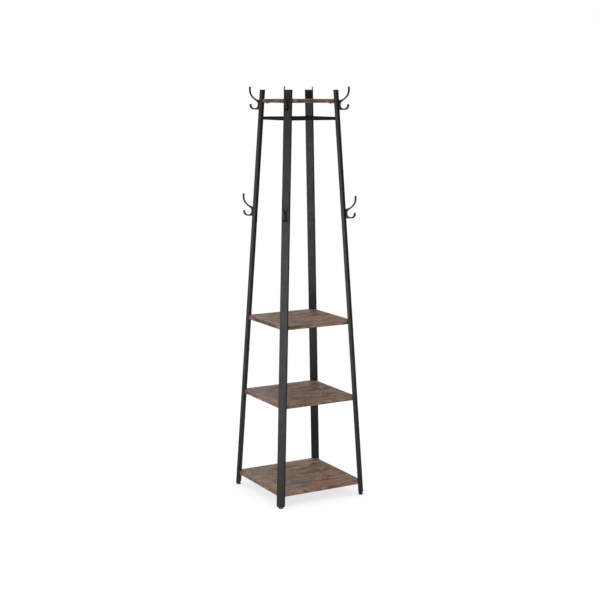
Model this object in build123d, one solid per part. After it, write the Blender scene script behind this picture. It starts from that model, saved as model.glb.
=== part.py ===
from build123d import *
import os
from math import atan, cos, degrees, radians, sin, sqrt

# Hall tree: four rectangular steel legs lean inwards like the edges of a tall truncated
# pyramid and carry four square boards, a ring of square bars and eight flat coat hooks.
# The model is in millimetres, +Z up.  The origin lies on the floor at the centre of the
# footprint and -Y is the front.
#
# Parts that repeat at each corner are drawn once in a "corner frame", where +X points
# outwards along the diagonal, and are then turned to the four corners.

# ---- driving dimensions -------------------------------------------------------------

TOTAL_HEIGHT = 1800.0            # floor to the top of the leg caps
LEG_FACE_AT_FLOOR = 298.0        # axis of the tree to a leg's outer face, at z = 0
LEG_FACE_AT_TOP = 173.0          # the same at the top of the caps

LEG_WIDTH = 35.0                 # tube size along the tangent
LEG_DEPTH = 15.0                 # tube size along the diagonal, measured level
LEG_WALL = 1.5
LEG_CORNER_RADIUS = 2.0
CAP_HEAD = 4.0                   # plastic head on each end of a leg
CAP_INSERT = 14.0                # how far the top cap goes into the tube
PLUG_INSERT = 18.0               # how far the bottom plug goes into the tube
INSERT_GAP = 0.15                # play between an insert and the tube's inside
INSERT_CORNER_RADIUS = 0.4
CAP_EDGE_RADIUS = 1.0
CAP_INSERT_WALL = 1.5
PLUG_CHAMFER_HEIGHT = 2.4
PLUG_CHAMFER_DEPTH = 1.6

BOARD_THICKNESS = 16.0
BOARD_EDGE_RADIUS = 0.8
BOARD_LEG_GAP = 0.3              # between a board's cut corner and the leg behind it

# name: (height of the top face, side length, drop of its brackets below the board)
BOARDS = {
    "lower_shelf": (66.0, 417.0, 15.0),
    "middle_shelf": (451.5, 380.0, 15.0),
    "upper_shelf": (795.0, 350.0, 15.0),
    "top_board": (1760.0, 250.0, 25.0),
}

BRACKET_SHEET = 1.5
BRACKET_WIDTH = 20.0
BRACKET_REACH = 28.0             # length of the level flange, from the leg inwards
BRACKET_HOLE_RADIUS = 3.4
BRACKET_CORNER_RADIUS = 5.0
SCREW_INSET = 18.8               # leg's inner face to the screw's axis
SCREW_RADIUS = 3.0
SCREW_HEAD_RADIUS = 6.0
SCREW_HEAD_HEIGHT = 2.4
SCREW_RIM_HEIGHT = 0.6           # straight part of the head, above its seat
SCREW_SHOULDER = (4.2, 1.666)    # radius and depth halfway round the head's curve
SCREW_CROWN_RADIUS = 2.4         # flat part of the head, round its socket
SCREW_LENGTH = 12.0              # under the head
SOCKET_ACROSS_FLATS = 4.0
SOCKET_DEPTH = 1.4
THREAD_INSERT_RADIUS = 4.75
THREAD_INSERT_LENGTH = 11.0
THREAD_CLEARANCE = 0.05          # radial, on every thread and pin

BAR_SIZE = 13.0
BAR_WALL = 1.2
BAR_TOP = 1683.5

HOOK_THICKNESS = 3.0
HOOK_FEET = {"upper": 1713.0, "lower": 1244.5}   # height of a hook's lowest point on the leg
PRONG_INNER_SWEEP = 43.5         # radius of the long prong's inner edge
PRONG_OUTER_SWEEP = 49.3         # radius of its outer edge
TIP_RADIUS = 4.8
BOWL_RADIUS = 14.0               # inside of the short prong
WEB_WIDTH = 10.3                 # plate left between the bowl and the leg

PAD_RADIUS = 10.0
PAD_HEIGHT = 5.0
PAD_FLOOR = 1.7                  # plastic under the stud's flange
PAD_CHAMFER = 0.8
PAD_EDGE_RADIUS = 1.2
STUD_FLANGE_RADIUS = 5.0
STUD_FLANGE_HEIGHT = 1.6
STUD_TOP = 27.0
STUD_CHAMFER = 0.6
COLLAR_ACROSS_FLATS = 10.0
COLLAR_HEIGHT = 1.8
COLLAR_GAP = 0.1                 # above the collar, and below it
FOOT_HEIGHT = 7.0                # floor to the plug's underside with the foot screwed in

# ---- derived sizes ------------------------------------------------------------------

LEG_SLOPE = (LEG_FACE_AT_FLOOR - LEG_FACE_AT_TOP) / TOTAL_HEIGHT
LEAN = degrees(atan(LEG_SLOPE))
LEG_DIRECTION = Vector(-LEG_SLOPE, 0, 1)
TUBE_BOTTOM = FOOT_HEIGHT + CAP_HEAD
TUBE_TOP = TOTAL_HEIGHT - CAP_HEAD

CORNERS = {
    "front_left": 225.0,
    "front_right": 315.0,
    "back_left": 135.0,
    "back_right": 45.0,
}


def leg_outer(z):
    """Distance from the tree's axis to a leg's outer face at height z."""
    return LEG_FACE_AT_FLOOR - LEG_SLOPE * z


def leg_inner(z):
    """Distance from the tree's axis to a leg's inner face at height z."""
    return leg_outer(z) - LEG_DEPTH


def leg_centre(z):
    """Distance from the tree's axis to a leg's middle at height z."""
    return leg_outer(z) - LEG_DEPTH / 2


def at_corner(solid, angle):
    """Turn a solid drawn in the corner frame to its corner of the tree."""
    return Rot(0, 0, angle) * solid


def leg_prism(z_low, z_high, inset, corner_radius):
    """A level slice of a leg's outline between two heights, set in from the outside."""
    outline = RectangleRounded(LEG_DEPTH - 2 * inset, LEG_WIDTH - 2 * inset, corner_radius)
    length = (z_high - z_low) * sqrt(1 + LEG_SLOPE**2)
    return extrude(Pos(leg_centre(z_low), 0, z_low) * outline, amount=length, dir=LEG_DIRECTION)


def upright_cylinder(x, radius, z_low, z_high):
    """A vertical cylinder at distance x from the axis, in the corner frame."""
    return extrude(Pos(x, 0, z_low) * Circle(radius), amount=z_high - z_low)


# ---- legs and their end fittings ----------------------------------------------------

def make_leg():
    """A rectangular tube, cut level at both ends."""
    outside = leg_prism(TUBE_BOTTOM, TUBE_TOP, 0, LEG_CORNER_RADIUS)
    inside = leg_prism(TUBE_BOTTOM, TUBE_TOP, LEG_WALL, LEG_CORNER_RADIUS - LEG_WALL)
    return outside - inside


def make_cap():
    """The plastic cap in the top of a leg: a flush head and a hollow insert."""
    head = leg_prism(TUBE_TOP, TOTAL_HEIGHT, 0, LEG_CORNER_RADIUS)
    head = fillet(head.faces().sort_by(Axis.Z)[-1].edges(), CAP_EDGE_RADIUS)
    inset = LEG_WALL + INSERT_GAP
    low = TUBE_TOP - CAP_INSERT
    insert = leg_prism(low, TUBE_TOP, inset, INSERT_CORNER_RADIUS)
    hollow = leg_prism(low, TUBE_TOP, inset + CAP_INSERT_WALL, INSERT_CORNER_RADIUS)
    return head + (insert - hollow)


def make_plug():
    """The plastic plug in the bottom of a leg, bored for the foot's stud."""
    head = leg_prism(FOOT_HEIGHT, TUBE_BOTTOM, 0, LEG_CORNER_RADIUS)
    underside = head.faces().sort_by(Axis.Z)[0]
    head = chamfer(underside.edges(), PLUG_CHAMFER_HEIGHT, PLUG_CHAMFER_DEPTH)
    plug_top = TUBE_BOTTOM + PLUG_INSERT
    inset = LEG_WALL + INSERT_GAP
    insert = leg_prism(TUBE_BOTTOM, plug_top, inset, INSERT_CORNER_RADIUS)
    bore = upright_cylinder(
        foot_axis(), SCREW_RADIUS + THREAD_CLEARANCE, FOOT_HEIGHT, plug_top
    )
    return head + insert - bore


def foot_axis():
    """Distance from the tree's axis to the vertical axis of a foot."""
    return leg_centre(TUBE_BOTTOM)


def make_foot_pad():
    """The round plastic pad, with a pocket that lets the stud's flange turn in it."""
    x = foot_axis()
    pad = upright_cylinder(x, PAD_RADIUS, 0, PAD_HEIGHT)
    pad = chamfer(pad.faces().sort_by(Axis.Z)[0].edges(), PAD_CHAMFER)
    pad = fillet(pad.faces().sort_by(Axis.Z)[-1].edges(), PAD_EDGE_RADIUS)
    pocket_top = PAD_FLOOR + STUD_FLANGE_HEIGHT + 2 * THREAD_CLEARANCE
    pocket_radius = STUD_FLANGE_RADIUS + THREAD_CLEARANCE
    pocket = upright_cylinder(x, pocket_radius, PAD_FLOOR, pocket_top)
    neck = upright_cylinder(x, SCREW_RADIUS + THREAD_CLEARANCE, pocket_top, PAD_HEIGHT)
    return pad - pocket - neck


def make_foot_stud():
    """The steel stud: a captive flange, a hexagon collar and a threaded shank."""
    x = foot_axis()
    flange_low = PAD_FLOOR + THREAD_CLEARANCE
    flange = upright_cylinder(x, STUD_FLANGE_RADIUS, flange_low, flange_low + STUD_FLANGE_HEIGHT)
    shank = upright_cylinder(x, SCREW_RADIUS, flange_low, STUD_TOP)
    shank = chamfer(shank.faces().sort_by(Axis.Z)[-1].edges(), STUD_CHAMFER)
    hexagon = RegularPolygon(COLLAR_ACROSS_FLATS / 2, 6, major_radius=False)
    collar_low = PAD_HEIGHT + COLLAR_GAP
    collar = extrude(Pos(x, 0, collar_low) * hexagon, amount=COLLAR_HEIGHT)
    return flange + shank + collar


# ---- boards, their brackets and screws ------------------------------------------------

def make_board(top, side):
    """A square board whose corners are cut square to the legs behind them."""
    low = top - BOARD_THICKNESS
    reach = leg_inner(top) - BOARD_LEG_GAP
    square = Rectangle(side, side)
    cut_corners = Rot(0, 0, 45) * Rectangle(2 * reach, 2 * reach)
    board = extrude(Pos(0, 0, low) * (square & cut_corners), amount=BOARD_THICKNESS)
    board = fillet(board.edges(), BOARD_EDGE_RADIUS)
    for angle in CORNERS.values():
        hole = upright_cylinder(
            screw_axis(low), THREAD_INSERT_RADIUS + THREAD_CLEARANCE, low, low + THREAD_INSERT_LENGTH
        )
        board -= at_corner(hole, angle)
    return board


def screw_axis(board_underside):
    """Distance from the tree's axis to the screws under a board."""
    return leg_inner(board_underside) - SCREW_INSET


def make_bracket(underside, drop):
    """A bent sheet angle: one flange on the leg's inner face, one under the board."""
    shelf_end = leg_inner(underside) - BRACKET_REACH
    foot = underside - drop
    inner_bend = underside - BRACKET_SHEET
    profile = Polyline(
        (leg_inner(underside), 0, underside),
        (shelf_end, 0, underside),
        (shelf_end, 0, inner_bend),
        (leg_inner(inner_bend) - BRACKET_SHEET, 0, inner_bend),
        (leg_inner(foot) - BRACKET_SHEET, 0, foot),
        (leg_inner(foot), 0, foot),
        close=True,
    )
    angle = extrude(make_face(profile), amount=BRACKET_WIDTH / 2, both=True)
    free_corners = angle.edges().filter_by(Axis.Z).group_by(Axis.X)[0]
    angle = fillet(free_corners, BRACKET_CORNER_RADIUS)
    hole = upright_cylinder(screw_axis(underside), BRACKET_HOLE_RADIUS, inner_bend, underside)
    return angle - hole


def make_screw(underside):
    """A low round-headed socket screw, driven upwards through a bracket."""
    x = screw_axis(underside)
    seat = underside - BRACKET_SHEET
    crown = seat - SCREW_HEAD_HEIGHT
    rim = (SCREW_HEAD_RADIUS, 0, -SCREW_RIM_HEIGHT)
    shoulder = (SCREW_SHOULDER[0], 0, -SCREW_SHOULDER[1])
    flat = (SCREW_CROWN_RADIUS, 0, -SCREW_HEAD_HEIGHT)
    outline = Polyline((0, 0, 0), (SCREW_HEAD_RADIUS, 0, 0), rim)
    outline += ThreePointArc(rim, shoulder, flat)
    outline += Polyline(flat, (0, 0, -SCREW_HEAD_HEIGHT), (0, 0, 0))
    head = Pos(x, 0, seat) * revolve(make_face(outline), Axis.Z)
    socket = RegularPolygon(SOCKET_ACROSS_FLATS / 2, 6, major_radius=False)
    socket = extrude(Pos(x, 0, crown) * socket, amount=SOCKET_DEPTH)
    shank = upright_cylinder(x, SCREW_RADIUS, seat, seat + SCREW_LENGTH)
    return head + shank - socket


def make_thread_insert(underside):
    """The threaded brass sleeve that is set into the board for a screw."""
    x = screw_axis(underside)
    sleeve = upright_cylinder(x, THREAD_INSERT_RADIUS, underside, underside + THREAD_INSERT_LENGTH)
    bore = upright_cylinder(
        x, SCREW_RADIUS + THREAD_CLEARANCE, underside, underside + THREAD_INSERT_LENGTH
    )
    return sleeve - bore


# ---- ring of bars ---------------------------------------------------------------------

def make_front_bar():
    """One side of the ring: a square tube whose ends are cut to the legs' inner faces."""
    low = BAR_TOP - BAR_SIZE
    corner = leg_inner(low) / sqrt(2)
    centre_y = -(corner + BAR_SIZE / 2)
    hollow = BAR_SIZE - 2 * BAR_WALL
    section = Rectangle(BAR_SIZE, BAR_SIZE) - Rectangle(hollow, hollow)
    across = Plane(origin=(0, centre_y, low + BAR_SIZE / 2), x_dir=(0, 1, 0), z_dir=(1, 0, 0))
    bar = extrude(across * section, amount=2 * corner, both=True)
    space = Pos(0, 0, low) * Rot(0, 0, 45) * Rectangle(2 * leg_inner(low), 2 * leg_inner(low))
    between_legs = extrude(space, amount=BAR_SIZE, taper=LEAN)
    return bar & between_legs


# ---- hooks ----------------------------------------------------------------------------

def hook_outline():
    """The double hook's outline: x away from the leg, y up along it from the hook's foot."""
    sweep_in = (2.6, 86.0)               # centre of the long prong's inner edge
    sweep_out = (5.6, 87.0)              # centre of its outer edge
    sweep_turn = 56.0                    # degrees that the outer edge turns through
    tip = (50.5, 92.4)
    bowl = (WEB_WIDTH + BOWL_RADIUS, 18.9)
    heel = (28.5, 17.5)                  # centre of the short prong's outer edge
    heel_radius = 19.2
    short_tip_height = 18.5
    slope = radians(90 - sweep_turn)
    throat_top = (16.5, 34.7)

    long_end = (sweep_out[0] + PRONG_OUTER_SWEEP, sweep_out[1])
    long_start = (
        sweep_out[0] + PRONG_OUTER_SWEEP * sin(slope),
        sweep_out[1] - PRONG_OUTER_SWEEP * cos(slope),
    )
    tip_right = (tip[0] + TIP_RADIUS * cos(radians(30)), tip[1] - TIP_RADIUS / 2)
    tip_left = (tip[0] - TIP_RADIUS * cos(radians(30)), tip[1] - TIP_RADIUS / 2)
    tip_top = (tip[0], tip[1] + TIP_RADIUS)
    heel_low = (heel[0], heel[1] - heel_radius)
    heel_mid = (heel[0] + heel_radius / sqrt(2), heel[1] - heel_radius / sqrt(2))
    heel_right = (heel[0] + heel_radius, heel[1])
    short_right = (heel_right[0], short_tip_height)
    short_left = (heel_right[0] - 2 * TIP_RADIUS, short_tip_height)
    short_top = (heel_right[0] - TIP_RADIUS, short_tip_height + TIP_RADIUS)
    bowl_low = (bowl[0], bowl[1] - BOWL_RADIUS)
    bowl_left = (WEB_WIDTH, bowl[1])
    throat = (WEB_WIDTH, 22.8)
    root_top = (sweep_in[0], sweep_in[1] - PRONG_INNER_SWEEP)
    sweep_mid = (
        sweep_in[0] + PRONG_INNER_SWEEP / sqrt(2),
        sweep_in[1] - PRONG_INNER_SWEEP / sqrt(2),
    )
    sweep_top = (sweep_in[0] + PRONG_INNER_SWEEP, sweep_in[1])

    edges = Polyline((0, root_top[1]), (0, 0), heel_low)
    edges += ThreePointArc(heel_low, heel_mid, heel_right)
    edges += Line(heel_right, short_right)
    edges += ThreePointArc(short_right, short_top, short_left)
    edges += ThreePointArc(short_left, bowl_low, bowl_left)
    edges += Line(bowl_left, throat)
    edges += TangentArc(throat, throat_top, tangent=(0, 1))
    edges += Line(throat_top, long_start)
    edges += TangentArc(long_start, long_end, tangent=(cos(slope), sin(slope)))
    edges += Line(long_end, tip_right)
    edges += ThreePointArc(tip_right, tip_top, tip_left)
    edges += Line(tip_left, sweep_top)
    edges += ThreePointArc(sweep_top, sweep_mid, root_top)
    edges += Line(root_top, (0, root_top[1]))
    return make_face(edges)


def make_hook(foot_height):
    """A hook cut from plate, standing on edge on the middle of a leg's outer face."""
    lean = radians(LEAN)
    along_leg = Plane(
        origin=(leg_outer(foot_height), 0, foot_height),
        x_dir=(cos(lean), 0, sin(lean)),
        z_dir=(0, -1, 0),
    )
    return extrude(along_leg * hook_outline(), amount=HOOK_THICKNESS / 2, both=True)


# ---- assembly -------------------------------------------------------------------------

def four_corners(solid):
    """Four separate copies of a solid, one at each corner."""
    return Compound(children=[at_corner(solid, angle) for angle in CORNERS.values()])


def build_nodes():
    """Every sub-part of the tree, by name."""
    nodes = {}
    per_corner = {
        "leg": make_leg(),
        "cap": make_cap(),
        "plug": make_plug(),
        "foot_pad": make_foot_pad(),
        "foot_stud": make_foot_stud(),
        "hook_upper": make_hook(HOOK_FEET["upper"]),
        "hook_lower": make_hook(HOOK_FEET["lower"]),
    }
    for part_name, solid in per_corner.items():
        for corner, angle in CORNERS.items():
            nodes[f"{part_name}_{corner}"] = at_corner(solid, angle)

    for board, (top, side, drop) in BOARDS.items():
        underside = top - BOARD_THICKNESS
        nodes[board] = make_board(top, side)
        bracket = make_bracket(underside, drop)
        for corner, angle in CORNERS.items():
            nodes[f"{board}_bracket_{corner}"] = at_corner(bracket, angle)
        nodes[f"{board}_screws"] = four_corners(make_screw(underside))
        nodes[f"{board}_thread_inserts"] = four_corners(make_thread_insert(underside))

    front_bar = make_front_bar()
    for side, angle in {"front": 0, "right": 90, "back": 180, "left": 270}.items():
        nodes[f"ring_bar_{side}"] = Rot(0, 0, angle) * front_bar
    return nodes


os.makedirs("parts", exist_ok=True)
for name, solid in build_nodes().items():
    export_step(solid, f"parts/{name}.step")
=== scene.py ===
import math

import bmesh
import bpy
from mathutils import Matrix, Vector


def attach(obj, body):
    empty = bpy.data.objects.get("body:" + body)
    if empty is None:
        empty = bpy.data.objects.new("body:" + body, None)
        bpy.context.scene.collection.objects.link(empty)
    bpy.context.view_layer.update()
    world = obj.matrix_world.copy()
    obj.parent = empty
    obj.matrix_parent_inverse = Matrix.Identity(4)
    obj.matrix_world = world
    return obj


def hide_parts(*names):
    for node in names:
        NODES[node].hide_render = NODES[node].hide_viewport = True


# Hall tree with hooks: looks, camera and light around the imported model.  Lengths are in
# metres, +Z is up, -Y is the front, and the origin is on the floor under the middle.

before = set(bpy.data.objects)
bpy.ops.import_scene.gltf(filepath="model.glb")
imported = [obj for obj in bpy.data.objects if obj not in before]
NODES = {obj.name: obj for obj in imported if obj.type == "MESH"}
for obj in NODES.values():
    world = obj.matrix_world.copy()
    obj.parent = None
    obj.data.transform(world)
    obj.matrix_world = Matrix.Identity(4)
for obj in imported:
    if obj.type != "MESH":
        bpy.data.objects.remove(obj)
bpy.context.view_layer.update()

# ---- sizes, as the model has them -----------------------------------------------------

CORNERS = {"front_left": 225.0, "front_right": 315.0, "back_left": 135.0, "back_right": 45.0}
BOARDS = ("lower_shelf", "middle_shelf", "upper_shelf", "top_board")
LEG_FACE_AT_FLOOR = 0.298
LEG_DEPTH = 0.015
LEG_SLOPE = 0.125 / 1.8
TUBE_BOTTOM = 0.011
HOOK_FEET = {"upper": 1.713, "lower": 1.2445}
HOOK_THICKNESS = 0.003
HOOK_EDGE_RADIUS = 0.0004
BRACKET_WIDTH = 0.020
# Underside of each board and how far its brackets come down.
BRACKETS = {
    "lower_shelf": (0.050, 0.015),
    "middle_shelf": (0.4355, 0.015),
    "upper_shelf": (0.779, 0.015),
    "top_board": (1.744, 0.025),
}
BAR_SIZE = 0.013
BAR_TOP = 1.6835

# Weld beads: ripple length, points round a bead, and each kind's radius and extent.
WELD_RIPPLE = 0.0011
WELD_SIDES = 10
HOOK_BEAD_RADIUS = 0.0011
HOOK_BEADS = ((0.003, 0.017), (0.025, 0.039))
BRACKET_BEAD_RADIUS = 0.0009
BRACKET_BEAD_ENDS = (0.0015, 0.003)
BAR_BEAD_RADIUS = 0.0011
BAR_BEAD_REACH = 0.0165

FOOT_AXIS = LEG_FACE_AT_FLOOR - LEG_SLOPE * TUBE_BOTTOM - LEG_DEPTH / 2
STUD_SIDES = 48
STUD_TOP = 0.027
THREAD_START = 0.0072
STUD_END_TAPER = 0.0006
THREAD_PITCH = 0.001
THREAD_STEPS = 10
THREAD_CREST = 0.00298
THREAD_ROOT = 0.00245
HEXAGON_FLATS = 0.010
PAD_FLUTES = 20
PAD_SIDES = PAD_FLUTES * 8

# ---- camera ---------------------------------------------------------------------------

CAMERA_PLACE = (-2.759, -4.932, 1.798)
CAMERA_TURN = (80.714, 0.0, -29.273)   # degrees
CAMERA_LENS = 77.03                    # millimetres

# ---- light ----------------------------------------------------------------------------

CEILING_LIGHT = (1.58, 1.58, 1.58)
WALL_LIGHT = (0.035, 0.035, 0.035)
GROUND_LIGHT = (0.30, 0.30, 0.30)
FLOOR_RADIUS = 2.2
FLOOR_COLOUR = (0.30, 0.30, 0.30)
FLOOR_GLOW = 0.73


def make_camera():
    """The camera at the photograph's viewing angle."""
    data = bpy.data.cameras.new("camera")
    data.lens = CAMERA_LENS
    data.sensor_width = 36.0
    data.clip_start = 0.05
    data.clip_end = 100.0
    camera = bpy.data.objects.new("camera", data)
    camera.location = CAMERA_PLACE
    camera.rotation_euler = [math.radians(angle) for angle in CAMERA_TURN]
    bpy.context.collection.objects.link(camera)
    bpy.context.scene.camera = camera


# ---- node trees -----------------------------------------------------------------------


class Tree:
    """Short calls for building a node tree."""

    def __init__(self, name, world=None):
        self.material = world or bpy.data.materials.new(name)
        self.material.use_nodes = True
        self.nodes = self.material.node_tree.nodes
        self.links = self.material.node_tree.links
        self.shader = self.nodes.get("Principled BSDF")

    def set(self, socket, value):
        """Give a socket a number, a colour or another node's output."""
        if isinstance(value, bpy.types.NodeSocket):
            self.links.new(value, socket)
        elif isinstance(value, (tuple, list)) and socket.type == "RGBA":
            socket.default_value = (*value, 1.0)
        else:
            socket.default_value = value

    def math(self, operation, a, b=0.0):
        node = self.nodes.new("ShaderNodeMath")
        node.operation = operation
        self.set(node.inputs[0], a)
        self.set(node.inputs[1], b)
        return node.outputs[0]

    def vector(self, operation, a, b):
        node = self.nodes.new("ShaderNodeVectorMath")
        node.operation = operation
        self.set(node.inputs[0], a)
        self.set(node.inputs[1], b)
        return node.outputs["Value" if operation in ("DOT_PRODUCT", "LENGTH") else "Vector"]

    def separate(self, vector):
        node = self.nodes.new("ShaderNodeSeparateXYZ")
        self.set(node.inputs[0], vector)
        return node.outputs

    def combine(self, x, y, z):
        node = self.nodes.new("ShaderNodeCombineXYZ")
        for socket, value in zip(node.inputs, (x, y, z)):
            self.set(socket, value)
        return node.outputs[0]

    def mix(self, factor, a, b, blend="MIX"):
        node = self.nodes.new("ShaderNodeMix")
        node.data_type = "RGBA"
        node.blend_type = blend
        self.set(node.inputs[0], factor)
        self.set(node.inputs[6], a)
        self.set(node.inputs[7], b)
        return node.outputs[2]

    def choose(self, factor, a, b):
        """Mix two vectors."""
        node = self.nodes.new("ShaderNodeMix")
        node.data_type = "VECTOR"
        self.set(node.inputs[0], factor)
        self.set(node.inputs[4], a)
        self.set(node.inputs[5], b)
        return node.outputs[1]

    def noise(self, vector, scale, detail=2.0, rough=0.5, distortion=0.0):
        node = self.nodes.new("ShaderNodeTexNoise")
        self.set(node.inputs["Vector"], vector)
        self.set(node.inputs["Scale"], scale)
        self.set(node.inputs["Detail"], detail)
        self.set(node.inputs["Roughness"], rough)
        self.set(node.inputs["Distortion"], distortion)
        return node.outputs[0]

    def voronoi(self, vector, scale, feature="F1", output="Distance"):
        node = self.nodes.new("ShaderNodeTexVoronoi")
        node.feature = feature
        self.set(node.inputs["Vector"], vector)
        self.set(node.inputs["Scale"], scale)
        return node.outputs[output]

    def ramp(self, value, stops):
        """A colour ramp; a stop is (place, colour)."""
        node = self.nodes.new("ShaderNodeValToRGB")
        elements = node.color_ramp.elements
        while len(elements) < len(stops):
            elements.new(0.5)
        for element, (place, colour) in zip(elements, stops):
            element.position = place
            element.color = (*colour, 1.0)
        self.set(node.inputs[0], value)
        return node.outputs[0]

    def span(self, value, low, high, to_low=0.0, to_high=1.0):
        """Smoothly map low..high onto to_low..to_high, clamped."""
        node = self.nodes.new("ShaderNodeMapRange")
        node.interpolation_type = "SMOOTHSTEP"
        for name, number in (
            ("Value", value),
            ("From Min", low),
            ("From Max", high),
            ("To Min", to_low),
            ("To Max", to_high),
        ):
            self.set(node.inputs[name], number)
        return node.outputs[0]

    def place(self):
        """Where the shaded point is, in the model's own metres."""
        return self.nodes.new("ShaderNodeTexCoord").outputs["Object"]

    def normal(self):
        """The normal of the shape, in the model's own axes."""
        return self.nodes.new("ShaderNodeTexCoord").outputs["Normal"]

    def bump(self, height, distance, strength=1.0, under=None):
        """Raise the surface by height times distance."""
        node = self.nodes.new("ShaderNodeBump")
        self.set(node.inputs["Strength"], strength)
        self.set(node.inputs["Distance"], distance)
        self.set(node.inputs["Height"], height)
        if under is not None:
            self.set(node.inputs["Normal"], under)
        return node.outputs[0]

    def edges(self, radius):
        """1 on sharp edges, falling to 0 on the flats, by comparing with a rounded normal."""
        rounded = self.nodes.new("ShaderNodeBevel")
        rounded.samples = 4
        self.set(rounded.inputs["Radius"], radius)
        flat = self.nodes.new("ShaderNodeNewGeometry").outputs["True Normal"]
        agreement = self.vector("DOT_PRODUCT", rounded.outputs[0], flat)
        return self.span(agreement, 0.995, 0.80)

    def finish(self, **sockets):
        """Set the shader's sockets by name and return the material."""
        for name, value in sockets.items():
            self.set(self.shader.inputs[name.replace("_", " ")], value)
        return self.material


# ---- materials ------------------------------------------------------------------------


def make_powder_coat():
    """Fine-textured black powder coat, a little polished and paler along the edges."""
    tree = Tree("black_powder_coat")
    place = tree.place()
    peel = tree.noise(place, 900.0, 3.0, 0.55)
    grit = tree.voronoi(place, 2600.0)
    cloud = tree.noise(place, 9.0, 3.0, 0.6)
    rubbed = tree.span(tree.noise(place, 70.0, 4.0, 0.6), 0.42, 0.7)
    worn = tree.math("MULTIPLY", tree.edges(0.0009), rubbed)
    colour = tree.mix(tree.span(cloud, 0.3, 0.7), (0.0085, 0.0085, 0.009), (0.013, 0.013, 0.0135))
    colour = tree.mix(tree.span(peel, 0.55, 0.8), colour, (0.018, 0.018, 0.0185))
    colour = tree.mix(worn, colour, (0.05, 0.049, 0.048))
    roughness = tree.span(tree.noise(place, 26.0, 4.0, 0.6), 0.3, 0.7, 0.40, 0.50)
    roughness = tree.math("SUBTRACT", roughness, tree.math("MULTIPLY", worn, 0.10))
    bump = tree.bump(peel, 0.00010, 0.8)
    bump = tree.bump(grit, 0.00001, 0.5, bump)
    return tree.finish(Base_Color=colour, Roughness=roughness, Normal=bump)


def make_plastic():
    """Black moulded plastic with a fine spark-eroded texture."""
    tree = Tree("black_moulded_plastic")
    place = tree.place()
    grain = tree.noise(place, 1800.0, 2.0, 0.6)
    cloud = tree.noise(place, 60.0, 3.0, 0.5)
    scuffs = tree.span(tree.noise(place, 220.0, 4.0, 0.7), 0.6, 0.75)
    colour = tree.mix(tree.span(cloud, 0.3, 0.7), (0.010, 0.010, 0.011), (0.016, 0.016, 0.017))
    colour = tree.mix(tree.math("MULTIPLY", tree.edges(0.0006), scuffs), colour, (0.05, 0.05, 0.05))
    roughness = tree.span(grain, 0.3, 0.7, 0.46, 0.62)
    return tree.finish(
        Base_Color=colour, Roughness=roughness, Normal=tree.bump(grain, 0.00004, 0.6)
    )


def make_screw_steel():
    """Blackened screw steel, worn bright on its edges."""
    tree = Tree("blackened_screw_steel")
    place = tree.place()
    cloud = tree.noise(place, 260.0, 3.0, 0.6)
    worn = tree.math("MULTIPLY", tree.edges(0.0004), tree.span(tree.noise(place, 700.0), 0.35, 0.6))
    colour = tree.mix(tree.span(cloud, 0.3, 0.7), (0.030, 0.028, 0.027), (0.055, 0.052, 0.055))
    colour = tree.mix(worn, colour, (0.22, 0.21, 0.20))
    roughness = tree.span(tree.noise(place, 900.0, 3.0), 0.3, 0.7, 0.30, 0.44)
    return tree.finish(
        Base_Color=colour,
        Metallic=1.0,
        Roughness=roughness,
        Normal=tree.bump(cloud, 0.00002, 0.5),
    )


def make_zinc():
    """Bright zinc plating with faint turning marks and dull patches."""
    tree = Tree("zinc_plated_steel")
    place = tree.place()
    turning = tree.noise(tree.vector("MULTIPLY", place, (400.0, 400.0, 9000.0)), 1.0, 2.0)
    cloud = tree.noise(place, 320.0, 4.0, 0.6)
    colour = tree.mix(tree.span(cloud, 0.3, 0.7), (0.50, 0.51, 0.53), (0.66, 0.66, 0.65))
    roughness = tree.span(cloud, 0.3, 0.7, 0.24, 0.42)
    return tree.finish(
        Base_Color=colour,
        Metallic=1.0,
        Roughness=roughness,
        Normal=tree.bump(turning, 0.00001, 0.4),
    )


def make_brass():
    """Dull turned brass."""
    tree = Tree("turned_brass")
    place = tree.place()
    turning = tree.noise(tree.vector("MULTIPLY", place, (300.0, 300.0, 8000.0)), 1.0, 2.0)
    cloud = tree.noise(place, 240.0, 4.0, 0.6)
    colour = tree.mix(tree.span(cloud, 0.3, 0.7), (0.42, 0.27, 0.10), (0.62, 0.44, 0.18))
    roughness = tree.span(cloud, 0.3, 0.7, 0.30, 0.46)
    return tree.finish(
        Base_Color=colour,
        Metallic=1.0,
        Roughness=roughness,
        Normal=tree.bump(turning, 0.00001, 0.4),
    )


# Patches of the boards' print: centre, half size, colour and strength.
BLOTS = (
    ((-0.043, -0.103), (0.052, 0.040), (0.110, 0.104, 0.120), 0.90),
    ((-0.122, 0.128), (0.085, 0.062), (0.155, 0.130, 0.132), 0.65),
    ((-0.158, -0.025), (0.034, 0.026), (0.120, 0.108, 0.112), 0.70),
    ((0.045, 0.072), (0.055, 0.018), (0.075, 0.052, 0.036), 0.70),
    ((0.085, 0.014), (0.100, 0.020), (0.105, 0.080, 0.068), 0.65),
    ((0.122, -0.042), (0.088, 0.026), (0.400, 0.195, 0.122), 0.75),
    ((0.105, -0.118), (0.046, 0.020), (0.125, 0.104, 0.096), 0.70),
    ((0.040, -0.168), (0.080, 0.026), (0.370, 0.165, 0.095), 0.70),
    ((-0.178, -0.095), (0.026, 0.090), (0.430, 0.295, 0.180), 0.65),
    ((-0.110, -0.182), (0.085, 0.022), (0.380, 0.265, 0.180), 0.55),
    ((0.060, 0.160), (0.120, 0.030), (0.220, 0.140, 0.100), 0.50),
)

# Knots of the print: centre and radius.
KNOTS = (
    ((0.109, -0.083), 0.011),
    ((-0.078, 0.048), 0.007),
    ((0.148, 0.122), 0.009),
    ((-0.020, -0.152), 0.005),
)


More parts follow.
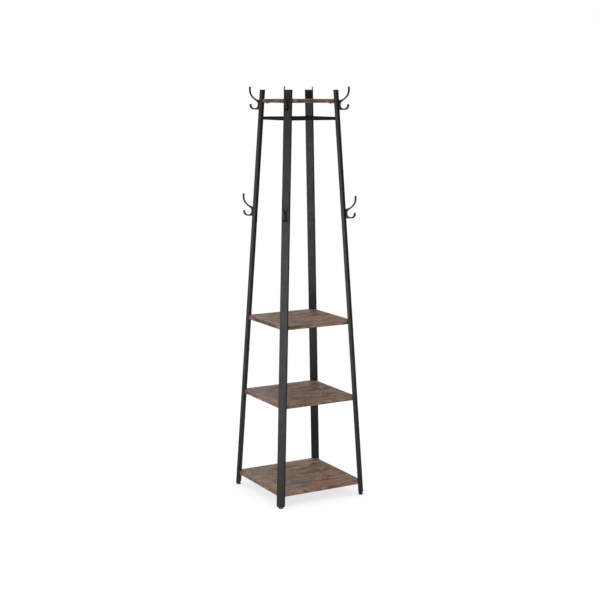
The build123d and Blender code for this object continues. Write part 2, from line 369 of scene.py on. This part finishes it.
def grain_place(tree):
    """Coordinates that run along the grain in X and across it in Y.

    The faces of a board and its front and back bands have their grain along X, a side
    band along Y, because each band is a strip of its own.
    """
    place = tree.separate(tree.place())
    normal = tree.separate(tree.normal())
    level = tree.span(tree.math("ABSOLUTE", normal[2]), 0.69, 0.72)
    sideways = tree.span(tree.math("ABSOLUTE", normal[0]), 0.74, 0.78)
    face = tree.combine(place[0], place[1], 0.0)
    front_band = tree.combine(place[0], tree.math("ADD", place[2], 1.7), 3.1)
    side_band = tree.combine(place[1], tree.math("ADD", place[2], 0.9), 7.3)
    band = tree.choose(sideways, front_band, side_band)
    return tree.choose(level, band, face)


def stretched(tree, grain, along, across, detail=4.0, rough=0.6, distortion=0.0, seed=0.0):
    """Noise with its features drawn out along the grain."""
    place = tree.vector("MULTIPLY", grain, (along, across, 1.0))
    place = tree.vector("ADD", place, (seed, seed, seed))
    return tree.noise(place, 1.0, detail, rough, distortion)


def distance_to(tree, grain, centre, size):
    """Distance from centre, as a share of the half size in each direction."""
    shifted = tree.vector("SUBTRACT", grain, (*centre, 0.0))
    scaled = tree.vector("DIVIDE", shifted, (*size, 1.0))
    return tree.vector("LENGTH", scaled, (0.0, 0.0, 0.0))


def rustic_colour(tree, grain):
    """The print's colour before the fine fibres and cracks."""
    streaks = stretched(tree, grain, 4.5, 42.0, 6.0, 0.66, 0.7)
    clouds = stretched(tree, grain, 8.0, 17.0, 5.0, 0.64, 0.9, 4.0)
    rust = stretched(tree, grain, 6.5, 24.0, 4.0, 0.62, 1.1, 9.0)
    tear = stretched(tree, grain, 16.0, 46.0, 5.0, 0.70, 0.5, 15.0)
    wobble = tree.math("MULTIPLY", tree.math("SUBTRACT", tear, 0.5), 2.4)

    colour = tree.ramp(
        streaks,
        (
            (0.30, (0.078, 0.043, 0.026)),
            (0.42, (0.175, 0.100, 0.064)),
            (0.53, (0.290, 0.178, 0.120)),
            (0.62, (0.385, 0.252, 0.176)),
            (0.74, (0.500, 0.350, 0.252)),
        ),
    )
    colour = tree.mix(tree.span(rust, 0.54, 0.68, 0.0, 0.55), colour, (0.370, 0.168, 0.086))
    colour = tree.mix(tree.span(clouds, 0.55, 0.68, 0.0, 0.60), colour, (0.125, 0.106, 0.100))
    for centre, size, paint, strength in BLOTS:
        away = tree.math("ADD", distance_to(tree, grain, centre, size), wobble)
        colour = tree.mix(tree.span(away, 1.35, 0.45, 0.0, strength), colour, paint)
    return colour, streaks


def make_rustic_board():
    """Melamine board printed as old brown planks: grain, grey and rusty patches, knots, and a
    painted dark shade line along its edges.
    """
    tree = Tree("rustic_brown_board")
    grain = grain_place(tree)
    colour, streaks = rustic_colour(tree, grain)

    # Dark and pale mottling, a few centimetres long.
    mottle = stretched(tree, grain, 24.0, 46.0, 4.0, 0.68, 0.8, 57.0)
    colour = tree.mix(tree.span(mottle, 0.53, 0.66, 0.0, 0.72), colour, (0.058, 0.037, 0.028))
    colour = tree.mix(tree.span(mottle, 0.47, 0.34, 0.0, 0.60), colour, (0.560, 0.395, 0.285))

    fibres = stretched(tree, grain, 22.0, 620.0, 4.0, 0.6, 0.2, 21.0)
    ticks = stretched(tree, grain, 60.0, 1500.0, 2.0, 0.5, 0.0, 27.0)
    colour = tree.mix(tree.span(fibres, 0.56, 0.40, 0.0, 0.50), colour, (0.066, 0.038, 0.026))
    colour = tree.mix(tree.span(fibres, 0.58, 0.72, 0.0, 0.35), colour, (0.580, 0.425, 0.310))
    colour = tree.mix(tree.span(ticks, 0.60, 0.70, 0.0, 0.55), colour, (0.020, 0.012, 0.009))

    # Saw marks cross the grain, only where the old wood was left rough.
    saw = stretched(tree, grain, 520.0, 14.0, 2.0, 0.5, 0.4, 33.0)
    rough_wood = tree.span(stretched(tree, grain, 9.0, 13.0, 2.0, 0.5, 0.0, 39.0), 0.52, 0.62)
    saw = tree.math("MULTIPLY", tree.span(saw, 0.56, 0.66, 0.0, 0.45), rough_wood)
    colour = tree.mix(saw, colour, (0.040, 0.028, 0.022))

    # Long drying cracks: thin lines where a stretched noise passes its middle value.
    winding = stretched(tree, grain, 3.2, 19.0, 3.0, 0.5, 1.2, 45.0)
    crack = tree.math("ABSOLUTE", tree.math("SUBTRACT", winding, 0.5))
    where = tree.span(stretched(tree, grain, 7.0, 11.0, 2.0, 0.5, 0.0, 51.0), 0.54, 0.60)
    crack = tree.math("MULTIPLY", tree.span(crack, 0.0055, 0.0015), where)
    colour = tree.mix(tree.math("MULTIPLY", crack, 0.85), colour, (0.014, 0.009, 0.007))

    for centre, radius in KNOTS:
        away = distance_to(tree, grain, centre, (radius * 1.5, radius))
        away = tree.math("ADD", away, tree.math("MULTIPLY", streaks, 0.8))
        ring = tree.math("ABSOLUTE", tree.math("SINE", tree.math("MULTIPLY", away, 8.0)))
        halo = tree.math("MULTIPLY", tree.span(away, 2.1, 1.2, 0.0, 0.6), ring)
        colour = tree.mix(halo, colour, (0.055, 0.027, 0.015))
        colour = tree.mix(tree.span(away, 1.3, 0.85, 0.0, 0.9), colour, (0.018, 0.013, 0.012))

    # Painted shade: a dark line drawn along every edge of the board, standing in for the shade the
    # edges show.
    painted_edge_shade = tree.math("MULTIPLY", tree.edges(0.0016), 0.75)
    colour = tree.mix(painted_edge_shade, colour, (0.045, 0.028, 0.019))
    roughness = tree.span(streaks, 0.35, 0.65, 0.33, 0.44)
    bump = tree.bump(fibres, 0.00010, 0.6)
    bump = tree.bump(tree.math("SUBTRACT", 1.0, crack), 0.00012, 0.7, bump)
    bump = tree.bump(saw, 0.00005, 0.5, bump)
    return tree.finish(Base_Color=colour, Roughness=roughness, Normal=bump)


# ---- light and floor ------------------------------------------------------------------


def area_light(name, place, target, size, power):
    """A soft box that faces target."""
    data = bpy.data.lights.new(name, "AREA")
    data.shape = "RECTANGLE"
    data.size, data.size_y = size
    data.energy = power
    light = bpy.data.objects.new(name, data)
    light.location = place
    direction = Vector(target) - Vector(place)
    light.rotation_euler = direction.to_track_quat("-Z", "Y").to_euler()
    bpy.context.collection.objects.link(light)


def make_world():
    """White for the camera; for everything else a bright ceiling over dim walls."""
    world = bpy.data.worlds.new("studio")
    world.use_nodes = True
    tree = Tree("studio", world)
    height = tree.separate(tree.nodes.new("ShaderNodeTexCoord").outputs["Generated"])[2]
    surround = tree.mix(tree.span(height, 0.35, 0.80), WALL_LIGHT, CEILING_LIGHT)
    surround = tree.mix(tree.span(height, -0.06, -0.40), surround, GROUND_LIGHT)
    camera_ray = tree.nodes.new("ShaderNodeLightPath").outputs["Is Camera Ray"]
    colour = tree.mix(camera_ray, surround, (1.0, 1.0, 1.0))
    tree.set(tree.nodes["Background"].inputs["Color"], colour)
    bpy.context.scene.world = world


def make_floor():
    """A plain matt floor.

    It gives off most of its own brightness, so that shadows on it stay faint, and it is
    left out of reflections.
    """
    mesh = bpy.data.meshes.new("floor")
    shape = bmesh.new()
    bmesh.ops.create_circle(shape, cap_ends=True, segments=96, radius=FLOOR_RADIUS)
    shape.to_mesh(mesh)
    shape.free()
    floor = bpy.data.objects.new("floor", mesh)
    bpy.context.collection.objects.link(floor)
    tree = Tree("pale_floor")
    material = tree.finish(
        Base_Color=FLOOR_COLOUR,
        Roughness=0.9,
        Specular_IOR_Level=0.0,
        Emission_Color=(1.0, 1.0, 1.0),
        Emission_Strength=FLOOR_GLOW,
    )
    mesh.materials.append(material)
    floor.visible_glossy = False


def make_stage():
    """Floor, surround, soft boxes and a plain view transform."""
    make_world()
    make_floor()
    area_light("left_card", (-2.3, -1.5, 0.8), (0, 0, 0.8), (1.6, 1.9), 27.0)
    area_light("back_card", (0.6, 4.2, 1.7), (0, 0, 0.6), (2.6, 1.5), 9.0)
    bpy.context.scene.view_settings.view_transform = "Standard"
    bpy.context.scene.view_settings.look = "None"


# ---- pieces ---------------------------------------------------------------------------


def corner_frame(corner):
    """Turns a piece drawn with +X outwards along the diagonal to a corner."""
    return Matrix.Rotation(math.radians(CORNERS[corner]), 4, "Z")


def leg_outer(z):
    """Distance from the axis to a leg's outer face."""
    return LEG_FACE_AT_FLOOR - LEG_SLOPE * z


def leg_inner(z):
    """Distance from the axis to a leg's inner face."""
    return leg_outer(z) - LEG_DEPTH


def add_piece(name, shape, material, body, smooth_angle=math.radians(35.0)):
    """Turn a bmesh into a shown piece that rides on a body."""
    bmesh.ops.recalc_face_normals(shape, faces=shape.faces[:])
    mesh = bpy.data.meshes.new(name)
    for face in shape.faces:
        face.smooth = True
    for edge in shape.edges:
        if len(edge.link_faces) == 2 and edge.calc_face_angle() > smooth_angle:
            edge.smooth = False
    shape.to_mesh(mesh)
    shape.free()
    mesh.materials.append(material)
    piece = bpy.data.objects.new(name, mesh)
    bpy.context.collection.objects.link(piece)
    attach(piece, body)
    return piece


def make_hook(level, corner, material):
    """A hook plate with its cut edges rounded over, as they are under powder coat."""
    node = f"hook_{level}_{corner}"
    shape = bmesh.new()
    shape.from_mesh(NODES[node].data)
    bmesh.ops.remove_doubles(shape, verts=shape.verts[:], dist=1e-6)
    bmesh.ops.dissolve_limit(
        shape, angle_limit=math.radians(0.5), verts=shape.verts[:], edges=shape.edges[:]
    )
    sharp = [
        edge
        for edge in shape.edges
        if len(edge.link_faces) == 2 and edge.calc_face_angle() > math.radians(60.0)
    ]
    bmesh.ops.bevel(
        shape, geom=sharp, offset=HOOK_EDGE_RADIUS, segments=3, profile=0.5, affect="EDGES"
    )
    piece = add_piece(f"coat_{node}", shape, material, "frame")
    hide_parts(node)


def ring_surface(shape, rings, turn):
    """Join rings of points, each (height, radii), into a closed shell and turn it in place."""
    rows = []
    for height, radii in rings:
        count = len(radii)
        rows.append([
            shape.verts.new(turn @ Vector((
                radius * math.cos(math.tau * i / count),
                radius * math.sin(math.tau * i / count),
                height,
            )))
            for i, radius in enumerate(radii)
        ])
    for low, high in zip(rows, rows[1:]):
        for i in range(len(low)):
            j = (i + 1) % len(low)
            shape.faces.new((low[i], low[j], high[j], high[i]))
    shape.faces.new(rows[0][::-1])
    shape.faces.new(rows[-1])


def plain_ring(height, radius, count):
    """A round ring."""
    return height, [radius] * count


def thread_radius(height, angle):
    """Radius of an M6 thread: flat crests and roots, one turn for each millimetre."""
    phase = (height / THREAD_PITCH - angle / math.tau) % 1.0
    flank = abs(phase - 0.5) * 2.0
    rise = min(1.0, max(0.0, (flank - 0.18) / 0.62))
    return THREAD_ROOT + (THREAD_CREST - THREAD_ROOT) * rise


def hexagon_radius(angle, across_flats, limit):
    """Radius of a hexagon bar whose corners are turned down to a limit."""
    offset = (angle + math.pi / 6) % (math.pi / 3) - math.pi / 6
    return min(across_flats / 2 / math.cos(offset), limit)


def stud_rings():
    """The foot's stud from its captive flange up to the end of its thread."""
    angles = [math.tau * i / STUD_SIDES for i in range(STUD_SIDES)]

    def plain(height, radius):
        return plain_ring(height, radius, STUD_SIDES)

    rings = [plain(0.00175, 0.0046), plain(0.00195, 0.0050), plain(0.00315, 0.0050)]
    rings += [plain(0.00335, 0.0048), plain(0.00335, 0.0029), plain(0.0051, 0.0029)]
    for height, limit in (
        (0.0051, 0.0048), (0.0054, 0.0058), (0.0066, 0.0058), (0.0069, 0.0048)
    ):
        rings.append((height, [hexagon_radius(a, HEXAGON_FLATS, limit) for a in angles]))
    rings.append(plain(0.0069, THREAD_ROOT))
    steps = round((STUD_TOP - THREAD_START) / THREAD_PITCH * THREAD_STEPS)
    for step in range(steps + 1):
        height = THREAD_START + step * THREAD_PITCH / THREAD_STEPS
        fade = min(1.0, step / THREAD_STEPS, (STUD_TOP - height) / STUD_END_TAPER)
        radii = [
            THREAD_ROOT + (thread_radius(height, a) - THREAD_ROOT) * max(fade, 0.0)
            for a in angles
        ]
        rings.append((height, radii))
    rings.append(plain(STUD_TOP, 0.0018))
    return rings


def make_stud(corner, material):
    """The threaded stud of a levelling foot."""
    shape = bmesh.new()
    turn = corner_frame(corner) @ Matrix.Translation((FOOT_AXIS, 0.0, 0.0))
    ring_surface(shape, stud_rings(), turn)
    piece = add_piece(
        f"threaded_stud_{corner}", shape, material, f"foot_stud_{corner}",
        math.radians(50.0),
    )
    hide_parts(f"foot_stud_{corner}")


def pad_rings():
    """The foot's pad: grip flutes round its side, and the pocket that holds the stud."""
    angles = [math.tau * i / PAD_SIDES for i in range(PAD_SIDES)]

    def plain(height, radius):
        return plain_ring(height, radius, PAD_SIDES)

    def fluted(height, radius, depth):
        hollows = [(0.5 - 0.5 * math.cos(PAD_FLUTES * a)) ** 2 for a in angles]
        return height, [radius - depth * hollow for hollow in hollows]

    rings = [plain(0.0, 0.0060), plain(0.0, 0.0088), plain(0.0002, 0.0093), plain(0.0008, 0.0099)]
    rings += [fluted(0.0010, 0.0100, 0.0002), fluted(0.0014, 0.0100, 0.0005)]
    rings += [fluted(0.0034, 0.0100, 0.0005), fluted(0.0040, 0.00985, 0.0003)]
    rings += [plain(0.0044, 0.0096), plain(0.0048, 0.0091), plain(0.0050, 0.0084)]
    rings += [plain(0.0050, 0.0062), plain(0.0049, 0.0060), plain(0.0049, 0.0052)]
    rings += [plain(0.0050, 0.0050), plain(0.0050, 0.0033), plain(0.0048, 0.00305)]
    rings += [plain(0.0034, 0.00305), plain(0.0034, 0.00505), plain(0.0017, 0.00505)]
    return rings


def make_pad(corner, material):
    """The moulded pad of a levelling foot."""
    shape = bmesh.new()
    turn = corner_frame(corner) @ Matrix.Translation((FOOT_AXIS, 0.0, 0.0))
    ring_surface(shape, pad_rings(), turn)
    piece = add_piece(
        f"fluted_pad_{corner}", shape, material, f"foot_pad_{corner}"
    )
    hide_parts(f"foot_pad_{corner}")


def weld_bead(shape, turn, start, end, radius, seed):
    """A weld bead between two points: a rounded bar with stacked ripples and full ends."""
    start, end = Vector(start), Vector(end)
    along = (end - start).normalized()
    side = along.cross((0.0, 0.0, 1.0))
    if side.length < 0.5:
        side = along.cross((1.0, 0.0, 0.0))
    side.normalize()
    up = side.cross(along)
    length = (end - start).length
    steps = max(6, round(length / WELD_RIPPLE * 4))
    rows = []
    for step in range(steps + 1):
        share = step / steps
        ripple = 1.0 + 0.13 * math.cos(share * length / WELD_RIPPLE * math.tau + seed)
        wander = 1.0 + 0.10 * math.sin(share * length / 0.0071 + seed * 2.0)
        end_fall = math.sqrt(max(0.0, 1.0 - (2.0 * share - 1.0) ** 12))
        size = radius * ripple * wander * max(end_fall, 0.05)
        centre = start + along * length * share
        rows.append([
            shape.verts.new(turn @ (centre + (side * math.cos(a) + up * math.sin(a)) * size))
            for a in (math.tau * i / WELD_SIDES for i in range(WELD_SIDES))
        ])
    for low, high in zip(rows, rows[1:]):
        for i in range(WELD_SIDES):
            j = (i + 1) % WELD_SIDES
            shape.faces.new((low[i], low[j], high[j], high[i]))
    shape.faces.new(rows[0][::-1])
    shape.faces.new(rows[-1])


def on_face(leg_face, z, across):
    """A point on a leg's inner or outer face, in the corner frame."""
    return (leg_face(z), across, z)


def make_welds(corner, number, material):
    """The beads that hold the hooks, the brackets and the ring bars to one leg."""
    shape = bmesh.new()
    turn = corner_frame(corner)
    seed = number * 1.7
    for foot in HOOK_FEET.values():
        for sign in (-1.0, 1.0):
            for low, high in HOOK_BEADS:
                across = sign * HOOK_THICKNESS / 2
                weld_bead(
                    shape, turn, on_face(leg_outer, foot + low, across),
                    on_face(leg_outer, foot + high, across), HOOK_BEAD_RADIUS, seed,
                )
                seed += 0.9
    above_foot, below_board = BRACKET_BEAD_ENDS
    for underside, drop in BRACKETS.values():
        for sign in (-1.0, 1.0):
            across = sign * BRACKET_WIDTH / 2
            weld_bead(
                shape, turn, on_face(leg_inner, underside - drop + above_foot, across),
                on_face(leg_inner, underside - below_board, across), BRACKET_BEAD_RADIUS, seed,
            )
            seed += 0.9
    for z in (BAR_TOP, BAR_TOP - BAR_SIZE):
        weld_bead(
            shape, turn, on_face(leg_inner, z, -BAR_BEAD_REACH),
            on_face(leg_inner, z, BAR_BEAD_REACH), BAR_BEAD_RADIUS, seed,
        )
        seed += 0.9
    add_piece(f"weld_beads_{corner}", shape, material, "frame", math.pi)


# ---- dressing the model ---------------------------------------------------------------


def dress(material, names):
    """Give CAD nodes a material in every slot."""
    for name in names:
        data = NODES[name].data
        data.materials.clear()
        data.materials.append(material)


def names_with(prefixes):
    return [name for name in NODES if name.startswith(prefixes)]


make_camera()
make_stage()

powder_coat = make_powder_coat()
plastic = make_plastic()
zinc = make_zinc()
dress(powder_coat, names_with(("leg_", "ring_bar_", "hook_")))
dress(powder_coat, [name for name in NODES if "_bracket_" in name])
dress(plastic, names_with(("cap_", "plug_", "foot_pad_")))
dress(zinc, names_with("foot_stud_"))
dress(make_screw_steel(), [f"{board}_screws" for board in BOARDS])
dress(make_brass(), [f"{board}_thread_inserts" for board in BOARDS])
dress(make_rustic_board(), BOARDS)

for number, corner in enumerate(CORNERS):
    for level in HOOK_FEET:
        make_hook(level, corner, powder_coat)
    make_stud(corner, zinc)
    make_pad(corner, plastic)
    make_welds(corner, number, powder_coat)
